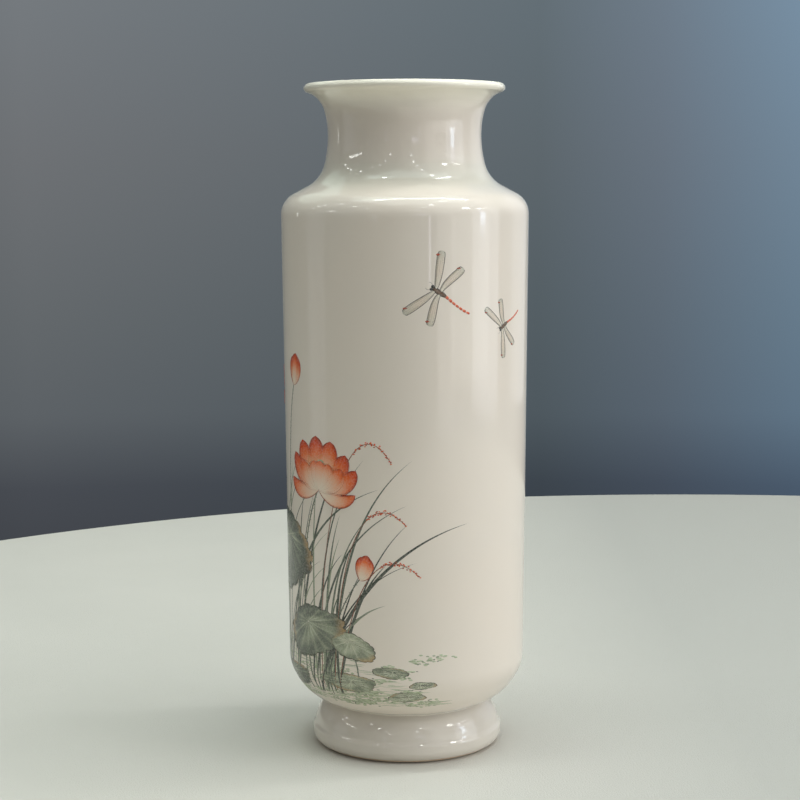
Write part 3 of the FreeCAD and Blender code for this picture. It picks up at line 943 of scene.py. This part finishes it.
def ripples(left, right, low, high, count):
    # still water: level strokes of pale green, closer together lower down, that reach less far
    # to both sides the higher they lie
    share = random.uniform(0, 1, count) ** 1.6
    up = low + (high - low) * share
    reach = (right - left) / 2 * (1 - 0.55 * share)
    length = random.uniform(3, 12, count)
    across = (left + right) / 2 - length / 2 + reach * random.uniform(-1, 1, count)
    slope = random.uniform(-0.3, 0.3, (count, 4))
    control = np.stack([np.stack([across + length * k / 3, up + slope[:, k]], -1) for k in range(4)], 1)
    shade = blended(washes["water"], random.uniform(0, 1, count))
    half = 0.24 * belly(14, 0.6, 0.8) * random.uniform(0.6, 1.7, (count, 1))
    brush("enamel_waterweed", curve(control, 14), half, 0.02, shade[:, None, None, :], 3)


def duckweed(left, right, low, high, clusters):
    # flat clusters of duckweed, each wider than it is tall
    across = random.uniform(left, right, clusters)
    up = low + (high - low) * random.uniform(0, 1, clusters) ** 2
    middles = np.stack([across, up], -1)
    kinds = [("leafPale", 7, 0.55), ("moss", 8, 0.5), ("leafMid", 6, 0.42), ("leafDark", 3, 0.32)]
    for pigment, number, size in kinds:
        spread = random.normal(0, 1, (clusters, number, 2)) * np.array([3.2, 0.75])
        places = (middles[:, None, :] + spread).reshape(-1, 2)
        places = places[places[:, 1] > strokes["weedLow"]]
        dots(places, size, 0.03, pigment, "enamel_waterweed", 1.8, 0.9)


def paintPond():
    # pads as (middle, half axes, tilt, eye, tone, lift): first those that float, then those that stand
    pads = [
        ((-141, 38), (13, 3.6), 2, (0, 0.6), 0.3, 0.035),
        ((-104, 34), (18, 4.6), -2, (2, 0.8), 0.45, 0.04),
        ((-66, 35), (17, 5.2), 3, (-3, 0.9), 0.5, 0.04),
        ((-27, 37.5), (14, 4.0), -2, (2, 0.6), 0.25, 0.04),
        ((0, 32), (8.5, 2.3), 1, (1, 0.3), 0.15, 0.04),
        ((-7, 43), (8, 2.3), -3, (1, 0.4), 0.2, 0.04),
        ((7, 37.5), (6, 1.6), 2, (-1, 0.2), 0.1, 0.04),
        ((-130, 66), (25, 13), 9, (-3, 4.5), 0.42, 0.07),
        ((-112, 131), (21, 10), -8, (2, 6.0), 0.35, 0.07),
        ((-74, 90), (27, 18), -8, (5, 6.5), 0.62, 0.08),
        ((-47, 57), (20, 11), 12, (-2, 4.2), 0.5, 0.1),
        ((-24, 53), (11, 5.5), -14, (-2, 2.2), 0.22, 0.12),
    ]
    for pad in pads:
        lotusPad(*pad)
    # stems as (path, half width, lift)
    stems = [
        (((-84, 32), (-88, 60), (-78, 78), (-70, 96)), 0.65, 0.04),
        (((-50, 31), (-53, 44), (-52, 54), (-49, 61)), 0.55, 0.04),
        (((-22, 33), (-20, 40), (-22, 48), (-26, 55)), 0.45, 0.04),
        (((-122, 32), (-128, 46), (-131, 58), (-133, 70)), 0.55, 0.04),
        (((-104, 32), (-116, 72), (-113, 108), (-110, 137)), 0.55, 0.04),
        (((-46, 32), (-56, 66), (-54, 96), (-41, 120)), 0.62, 0.05),
        (((-90, 32), (-80, 76), (-104, 118), (-97, 156)), 0.62, 0.05),
        (((-132, 32), (-140, 60), (-148, 90), (-141, 112)), 0.55, 0.05),
        (((-72, 32), (-60, 84), (-72, 130), (-59, 163)), 0.5, 0.05),
        (((-34, 33), (-38, 50), (-32, 68), (-20, 83)), 0.45, 0.05),
        (((-116, 34), (-104, 90), (-132, 130), (-126, 170)), 0.5, 0.05),
    ]
    for path, width, lift in stems:
        stem(path, width, lift, random.uniform(0.35, 0.65))
    blossom((-41, 119), 22, 7, 0.1)
    blossom((-97, 155), 21, -6, 0.1)
    blossom((-141, 111), 17, 8, 0.1, opened=0.7)
    bud((-59, 162), 14, 9, 0.1)
    bud((-20, 82), 11.5, 16, 0.1)
    bud((-126, 169), 12, -10, 0.1)
    # beds of reeds as left, right, leans, bows and number
    reedBeds = [(-76, -28, (-9, 22), (0.05, 0.4), 32), (-160, -80, (-18, 14), (-0.35, 0.3), 34)]
    for left, right, leans, bows, number in reedBeds:
        starts = np.stack([random.uniform(left, right, number), random.uniform(29, 33, number)], -1)
        reeds(
            starts, random.uniform(*leans, number), random.uniform(42, 115, number),
            random.uniform(*bows, number), random.uniform(0.4, 0.95, number), 0.05,
            random.uniform(0.25, 1.0, number),
        )
    knotweed((-33, 33), ((-33, 80), (-20, 128)), (0, 106), 0.06)
    knotweed((-31, 33), ((-26, 70), (-14, 104)), (6, 84), 0.06)
    knotweed((-40, 33), ((-44, 96), (-24, 164)), (-6, 132), 0.06)
    knotweed((-150, 33), ((-150, 80), (-168, 120)), (-178, 96), 0.06)
    ripples(-170, 20, 27.5, 52, 760)
    duckweed(-160, 14, 28, 50, 76)
    dragonfly((14, 203), 148, 31, 0.04)
    dragonfly((47, 188), 208, 25, 0.04)
    dragonfly((-146, 190), 30, 28, 0.04)


def enamelMaterial():
    # overglaze enamel: thin fired pigment, a little less glossy than the glaze, that lets it show
    # through where the brush was wet. Pigment gathers in grains of 0.4 mm
    material, tree = newMaterial("overglazeEnamel")
    base, relief = glazeNodes(tree)
    where = addNode(tree, "ShaderNodeTexCoord").outputs["Object"]
    paint = addNode(tree, "ShaderNodeAttribute", {"attribute_name": "pigment"})
    grain = addNode(tree, "ShaderNodeTexNoise", {"Scale": 1300.0, "Detail": 3.0}, {0: where})
    thin = addNode(
        tree, "ShaderNodeMapRange",
        {"From Min": 0.3, "From Max": 0.6, "To Min": 0.8, "To Max": 1.0}, {0: grain.outputs[0]},
    )
    density = addNode(
        tree, "ShaderNodeMath", {"operation": "MULTIPLY"}, {0: paint.outputs["Alpha"], 1: thin.outputs[0]}
    )
    colour = addNode(
        tree, "ShaderNodeMix", {"data_type": "RGBA"},
        {0: density.outputs[0], 6: base, 7: paint.outputs["Color"]},
    )
    dull = addNode(
        tree, "ShaderNodeMapRange", {"To Min": 0.08, "To Max": 0.24}, {0: density.outputs[0]}
    )
    surface = addNode(
        tree, "ShaderNodeBsdfPrincipled", {"IOR": 1.52},
        {"Base Color": colour.outputs[2], "Normal": relief, "Roughness": dull.outputs[0]},
    )
    addNode(tree, "ShaderNodeOutputMaterial", links={0: surface.outputs[0]})
    return material


paintPond()
enamel = enamelMaterial()
for name, batches in layers.items():
    finishPiece(gridMesh(name, batches, "pigment"), enamel, "glaze")
print("painting ready")

bpy.context.view_layer.update()
